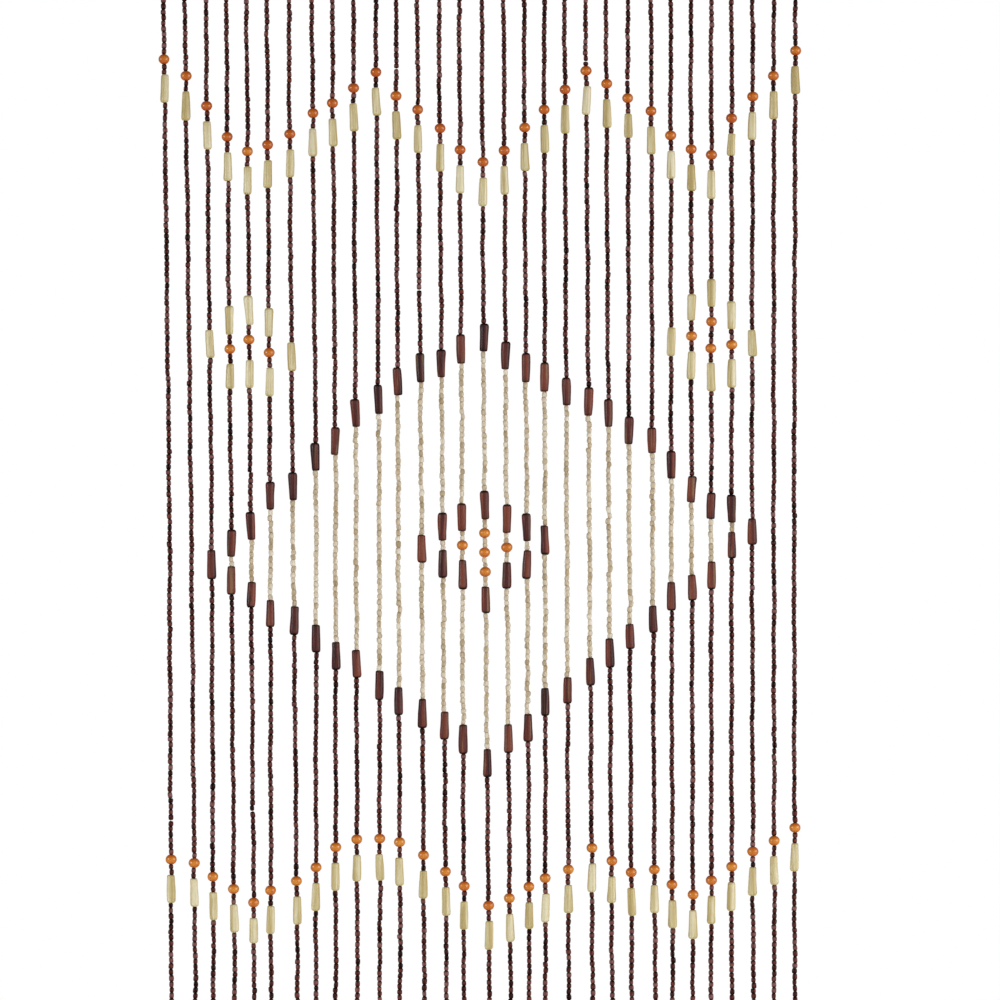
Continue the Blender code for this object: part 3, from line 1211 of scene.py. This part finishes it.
@dataclass
class HeadingTape:
    """A cotton tape folded over the upper ends of the cords and sewn through along both edges."""

    width: float = 0.900
    height: float = 0.024
    cloth: float = 0.0010
    depth: float = 0.0030
    cord_ridge: float = 0.0008
    wave: float = 0.0006
    columns_a_string: int = 8
    rows: int = 26
    stitch_length: float = 0.0032
    stitch_pitch: float = 0.0044
    stitch_diameter: float = 0.0006
    stitch_rows: tuple[float, float] = (0.0035, 0.0205)

    @property
    def flat_height(self) -> float:
        """The tape's width before it was folded over."""
        return 2 * (self.height - self.depth / 2) + pi * (self.depth - self.cloth) / 2

    def build(self) -> list[bpy.types.Object]:
        """Builds and dresses the tape and its stitches."""
        tape = hand_over(self._tape(), COTTON_TAPE.material(), "heading_tape")
        stitches = hand_over(self._stitches(), STITCH_THREAD.material(), "heading_tape")
        return [tape, stitches]

    def _tape(self) -> bpy.types.Object:
        """The tape: a flat grid folded over its top edge, with a ridge over each cord, then given its thickness."""
        deselect_all()
        bpy.ops.mesh.primitive_grid_add(
            x_subdivisions=len(STRINGS) * self.columns_a_string,
            y_subdivisions=self.rows,
            size=1,
        )
        tape = bpy.context.object
        tape.name = "heading_tape"
        for vertex in tape.data.vertices:
            vertex.co = self._folded(vertex.co.x * self.width, vertex.co.y * self.flat_height)
        thickness = tape.modifiers.new("thickness", "SOLIDIFY")
        thickness.thickness = self.cloth
        thickness.offset = 0
        bpy.ops.object.modifier_apply(modifier=thickness.name)
        bpy.ops.object.mode_set(mode="EDIT")
        bpy.ops.mesh.select_all(action="SELECT")
        bpy.ops.mesh.normals_make_consistent(inside=False)
        bpy.ops.object.mode_set(mode="OBJECT")
        bpy.ops.object.shade_smooth_by_angle(angle=radians(50))
        return tape

    def _folded(self, across: float, along: float) -> Vector:
        """Where a point of the flat tape lies once it is folded: along is measured from the fold's middle."""
        radius = (self.depth - self.cloth) / 2
        arc = pi / 2 * radius
        side = 1 if along > 0 else -1
        beyond = abs(along) - arc
        if beyond < 0:
            angle = along / radius
            return Vector((across, radius * sin(angle), -self.depth / 2 + radius * cos(angle)))
        ridge = self.cord_ridge * self._near_cord(across) * min(1.0, beyond / self.height * 4)
        down = self.depth / 2 + beyond
        return Vector((across, side * (radius + ridge) + self._swing(across, down), -down))

    def _swing(self, across: float, down: float) -> float:
        """How far the tape swings forward or back at a place: not at its top edge, and most at its lower one."""
        return self.wave * down / self.height * (sin(19 * across + 1.0) + 0.6 * sin(47 * across))

    def _near_cord(self, across: float) -> float:
        """From 0 to 1, how close a point is to the middle of a cord."""
        pitch = SIZES.strings_span / (len(STRINGS) - 1)
        off = (across + SIZES.strings_span / 2) / pitch
        return max(0.0, cos((off - round(off)) * pi)) ** 8

    def _stitches(self) -> bpy.types.Object:
        """Two rows of stitches on each face of the tape."""
        ends = ((0.35, -1.0), (0.85, -0.78), (1.0, -0.3), (1.0, 0.3), (0.85, 0.78), (0.35, 1.0))
        copies = Copies("heading_stitches", TurnedShape("stitch", ends, 6).pattern())
        count = int(self.width / self.stitch_pitch) - 1
        for face in (-1, 1):
            for row in self.stitch_rows:
                for number in range(count):
                    middle = (number - (count - 1) / 2) * self.stitch_pitch
                    level = face * (self.depth / 2 + self.cord_ridge * self._near_cord(middle))
                    level += self._swing(middle, row)
                    half = self.stitch_length / 2
                    copies.spots.append(
                        Spot(
                            Vector((middle + half, level, -row)),
                            Vector((middle - half, level, -row)),
                            self.stitch_diameter / 2,
                            self.stitch_diameter / 2,
                            tint=0.5,
                            turn=0.0,
                        )
                    )
        return copies.piece(60)


@dataclass
class Studio:
    """The pale floor, the soft lights, the white surroundings and the camera at the photograph's place."""

    frame_width: float = 1.391
    frame_centre: tuple[float, float] = (0.0285, -0.8301)
    camera_distance: float = 5.0
    sensor: float = 36.0
    floor_level: float = -1.90
    floor_radius: float = 2.3
    wash_height: float = 0.06
    wash_power: float = 24.0

    def build(self) -> None:
        """Builds everything round the curtain."""
        self._camera()
        self._floor()
        self._surroundings()
        self._softbox("left_softbox", (-4.1, -2.1, -0.2), (0.8, 1.1), 90.0)
        self._softbox("right_softbox", (4.1, -2.1, -0.3), (3.2, 3.0), 147.0)
        self._softbox("front_fill", (0.2, -4.2, 0.0), (2.0, 1.2), 37.0).visible_glossy = False
        self._softbox("rear_fill", (0.8, 4.2, -0.2), (2.4, 2.0), 105.0).visible_glossy = False
        self._floor_wash()

    def _camera(self) -> None:
        """A camera straight in front, whose frame is as wide as the photograph's at the curtain."""
        data = bpy.data.cameras.new("camera")
        data.sensor_width = self.sensor
        data.lens = self.sensor * self.camera_distance / self.frame_width
        camera = bpy.data.objects.new("camera", data)
        camera.location = (self.frame_centre[0], -self.camera_distance, self.frame_centre[1])
        camera.rotation_euler = (pi / 2, 0, 0)
        bpy.context.scene.collection.objects.link(camera)
        bpy.context.scene.camera = camera

    def _floor(self) -> None:
        """A plain pale round floor, small enough to stay under the camera's view."""
        deselect_all()
        bpy.ops.mesh.primitive_circle_add(
            vertices=96,
            radius=self.floor_radius,
            fill_type="NGON",
            location=(0, 0, self.floor_level),
        )
        floor = bpy.context.object
        floor.name = "floor"
        material = bpy.data.materials.new("pale_floor")
        material.use_nodes = True
        shader = material.node_tree.nodes["Principled BSDF"]
        shader.inputs["Base Color"].default_value = (0.86, 0.855, 0.845, 1)
        shader.inputs["Roughness"].default_value = 0.8
        floor.data.materials.append(material)
        floor.visible_glossy = False

    def _surroundings(self) -> None:
        """White behind the curtain, and a softer light from all round."""
        world = bpy.data.worlds.new("surroundings")
        world.use_nodes = True
        nodes = Nodes(world.node_tree)
        seen = nodes.add("ShaderNodeBackground", Color=(1, 1, 1, 1), Strength=1.0)
        around = nodes.add("ShaderNodeBackground", Color=(1, 1, 1, 1), Strength=0.09)
        straight = nodes.add("ShaderNodeLightPath").outputs["Is Camera Ray"]
        mixed = nodes.add("ShaderNodeMixShader")
        nodes.join(mixed, 0, straight)
        nodes.join(mixed, 1, around.outputs[0])
        nodes.join(mixed, 2, seen.outputs[0])
        nodes.join(world.node_tree.nodes["World Output"], "Surface", mixed.outputs[0])
        bpy.context.scene.world = world
        bpy.context.scene.view_settings.view_transform = "Standard"

    def _floor_wash(self) -> None:
        """A wide soft light close over the floor, which faces it and so lights nothing else."""
        data = bpy.data.lights.new("floor_wash", "AREA")
        data.shape = "DISK"
        data.size = 2 * self.floor_radius
        data.energy = self.wash_power
        light = bpy.data.objects.new("floor_wash", data)
        light.location = (0, 0, self.floor_level + self.wash_height)
        light.visible_camera = False
        light.visible_glossy = False
        bpy.context.scene.collection.objects.link(light)

    def _softbox(
        self,
        name: str,
        stand: tuple[float, float, float],
        size: tuple[float, float],
        power: float,
    ) -> bpy.types.Object:
        """Adds a rectangular light that faces the curtain's middle.

        Args:
            name: The light's name.
            stand: Where it stands.
            size: Its width and height.
            power: Its power in watts.

        Returns:
            The light.
        """
        data = bpy.data.lights.new(name, "AREA")
        data.shape = "RECTANGLE"
        data.size, data.size_y = size
        data.energy = power
        light = bpy.data.objects.new(name, data)
        light.location = stand
        towards = Vector((0, 0, self.frame_centre[1])) - light.location
        light.rotation_euler = towards.to_track_quat("-Z", "Y").to_euler()
        light.visible_camera = False
        bpy.context.scene.collection.objects.link(light)
        return light


def main() -> None:
    """Builds the studio and the curtain's sub-assemblies in order, and reports each piece."""
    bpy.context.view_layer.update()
    Studio().build()
    for part in (HeadingTape(), Cords(), BigBeads(), SmallBeads()):
        made = part.build()
        LOG.info("%s: %d pieces", type(part).__name__, len(made))


if __name__ == "__main__":
    main()
